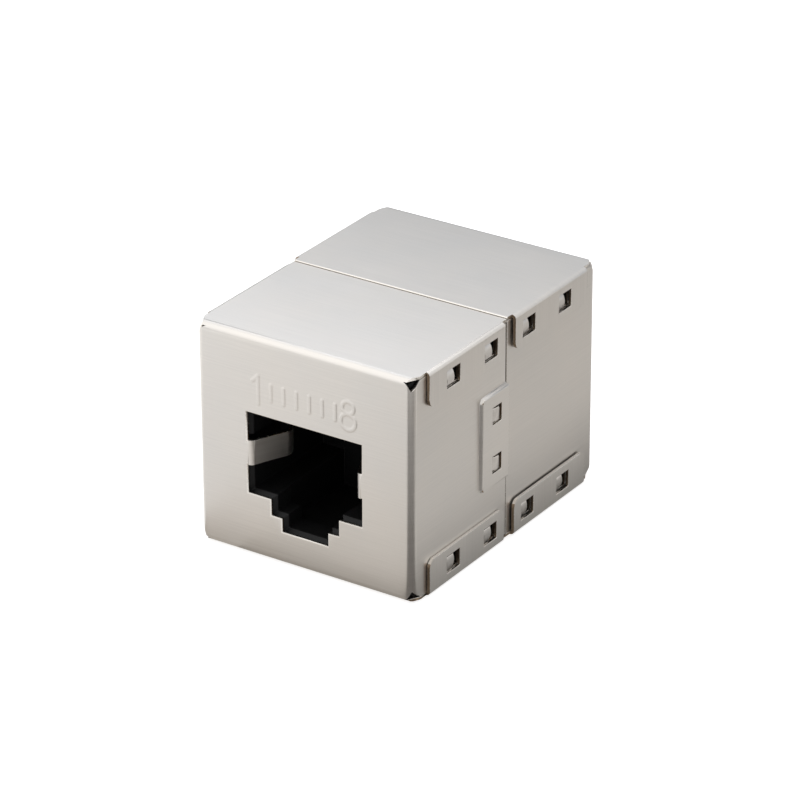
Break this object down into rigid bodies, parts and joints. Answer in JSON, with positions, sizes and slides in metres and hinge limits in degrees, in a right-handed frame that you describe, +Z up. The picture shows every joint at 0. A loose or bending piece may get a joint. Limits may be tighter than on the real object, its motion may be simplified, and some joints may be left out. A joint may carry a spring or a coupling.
{
  "type": "inline network socket coupler",
  "caption": "Shielded inline coupler: a folded metal shell in two halves holds back-to-back eight-contact network sockets joined by a circuit board.",
  "frame": {"origin": "middle of the footprint, on the surface that the coupler stands on", "axes": "+Z up; X runs across the socket faces; -Y points out of the front socket and +Y out of the rear socket"},
  "size_m": [0.0234, 0.0302, 0.0217],
  "materials": {
    "shell_sheet": "thin sheet with a satin nickel plate, fine grain along its length, raw warm-brown cut edges",
    "housing_plastic": "black moulded thermoplastic, fine matte texture",
    "carrier_plastic": "black moulded thermoplastic, slightly glossier than the housing",
    "board_laminate": "glass-fibre laminate with a green solder mask",
    "contact_metal": "stamped spring wire with a gold flash"
  },
  "bodies": {
    "root": {"front_shell": "shell_sheet", "rear_shell": "shell_sheet", "front_jack_housing": "housing_plastic", "rear_jack_housing": "housing_plastic", "front_contact_carrier": "carrier_plastic", "rear_contact_carrier": "carrier_plastic", "circuit_board": "board_laminate", "front_contact_1": "contact_metal", "front_contact_2": "contact_metal", "front_contact_3": "contact_metal", "front_contact_4": "contact_metal", "front_contact_5": "contact_metal", "front_contact_6": "contact_metal", "front_contact_7": "contact_metal", "front_contact_8": "contact_metal", "rear_contact_1": "contact_metal", "rear_contact_2": "contact_metal", "rear_contact_3": "contact_metal", "rear_contact_4": "contact_metal", "rear_contact_5": "contact_metal", "rear_contact_6": "contact_metal", "rear_contact_7": "contact_metal", "rear_contact_8": "contact_metal"}
  },
  "joints": []
}
